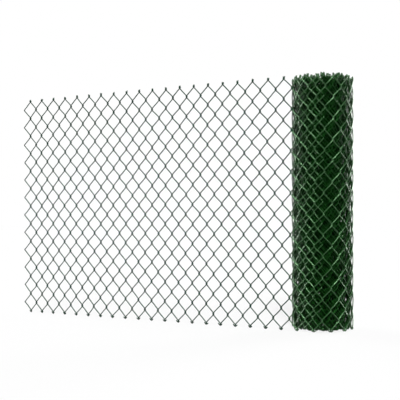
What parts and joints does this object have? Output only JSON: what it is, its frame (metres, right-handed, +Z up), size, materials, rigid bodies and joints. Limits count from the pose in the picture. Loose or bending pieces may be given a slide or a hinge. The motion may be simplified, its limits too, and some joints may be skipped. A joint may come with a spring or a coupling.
{
  "type": "roll of chain-link fencing",
  "caption": "Roll of diamond-mesh wire fencing, standing on end with a flat free length drawn out to one side.",
  "frame": {"origin": "on the roll's axis, at the floor", "axes": "+Z up along the roll, -X towards the free end of the drawn-out length, -Y from the roll's axis to the flat face of that length"},
  "size_m": [1.602, 0.259, 1.0365],
  "materials": {
    "coated_wire": "glossy dark green plastic coat on steel wire"
  },
  "bodies": {
    "root": {"spiral_01": "coated_wire", "spiral_02": "coated_wire", "spiral_03": "coated_wire", "spiral_04": "coated_wire", "spiral_05": "coated_wire", "spiral_06": "coated_wire", "spiral_07": "coated_wire", "spiral_08": "coated_wire", "spiral_09": "coated_wire", "spiral_10": "coated_wire", "spiral_11": "coated_wire", "spiral_12": "coated_wire", "spiral_13": "coated_wire", "spiral_14": "coated_wire", "spiral_15": "coated_wire", "spiral_16": "coated_wire", "spiral_17": "coated_wire", "spiral_18": "coated_wire", "spiral_19": "coated_wire", "spiral_20": "coated_wire", "spiral_21": "coated_wire", "spiral_22": "coated_wire", "spiral_23": "coated_wire", "spiral_24": "coated_wire", "spiral_25": "coated_wire", "spiral_26": "coated_wire", "spiral_27": "coated_wire", "spiral_28": "coated_wire", "spiral_29": "coated_wire", "spiral_30": "coated_wire", "spiral_31": "coated_wire", "spiral_32": "coated_wire", "spiral_33": "coated_wire", "spiral_34": "coated_wire", "spiral_35": "coated_wire", "spiral_36": "coated_wire", "spiral_37": "coated_wire", "spiral_38": "coated_wire", "spiral_39": "coated_wire", "spiral_40": "coated_wire", "spiral_41": "coated_wire", "spiral_42": "coated_wire", "spiral_43": "coated_wire", "wound_roll": "coated_wire"}
  },
  "joints": []
}
